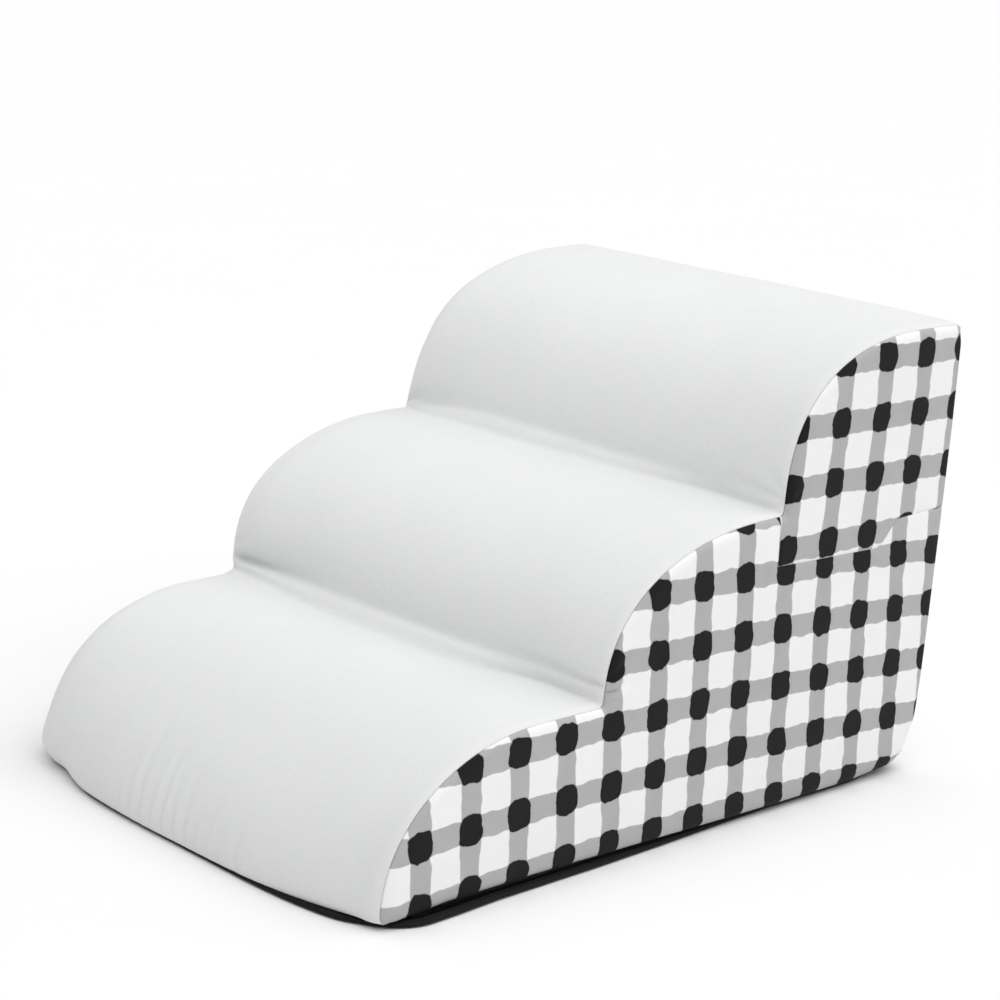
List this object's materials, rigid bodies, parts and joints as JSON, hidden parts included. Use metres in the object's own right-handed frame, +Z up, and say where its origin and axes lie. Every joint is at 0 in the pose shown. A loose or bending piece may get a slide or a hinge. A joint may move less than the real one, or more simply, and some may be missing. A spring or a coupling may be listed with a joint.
{
  "type": "foam pet ramp",
  "caption": "Low rounded foam ramp with stepped treads for a small dog to reach a sofa or bed, in a zip-off plush and printed cotton cover with a non-slip base.",
  "frame": {"origin": "on the floor, under the middle of the ramp's width and depth", "axes": "+X to the right as seen by a dog's owner facing the lowest step, +Y from the lowest step to the tall back, +Z up"},
  "size_m": [0.4, 0.55, 0.35],
  "materials": {
    "foam": "open-cell polyurethane foam",
    "plush": "short soft nap",
    "printed_cotton": "matt plain weave with a painted gingham print",
    "base_fabric": "matt woven with raised grip dots",
    "black_tape": "matt herringbone tape",
    "black_nylon": "satin nylon",
    "black_metal": "satin black paint"
  },
  "bodies": {
    "root": {"foam_slab_lower": "foam", "foam_slab_middle": "foam", "foam_slab_upper": "foam", "tread_panel": "plush", "back_panel": "plush", "side_panel_right_lower": "printed_cotton", "side_panel_right_upper": "printed_cotton", "side_panel_left_lower": "printed_cotton", "side_panel_left_upper": "printed_cotton", "base_panel": "base_fabric", "front_binding": "black_tape", "zip_tape_upper": "black_tape", "zip_tape_lower": "black_tape", "zip_coil_upper": "black_nylon", "zip_coil_lower": "black_nylon", "zip_start_stop": "black_nylon", "zip_end_stop": "black_nylon", "zip_end_tab_left": "black_tape", "zip_end_tab_right": "black_tape"},
    "slider": {"zip_slider": "black_metal"},
    "pull": {"zip_pull": "black_metal"}
  },
  "joints": [
    {"name": "zip_slide", "type": "slide", "parent": "root", "child": "slider", "axis": [0, 1, 0], "range_m": [0, 0.465]},
    {"name": "pull_hinge", "type": "hinge", "parent": "slider", "child": "pull", "pos_m": [-0.19885, -0.2192, 0.0062], "axis": [0, 0, 1], "range_deg": [0, 175]}
  ]
}
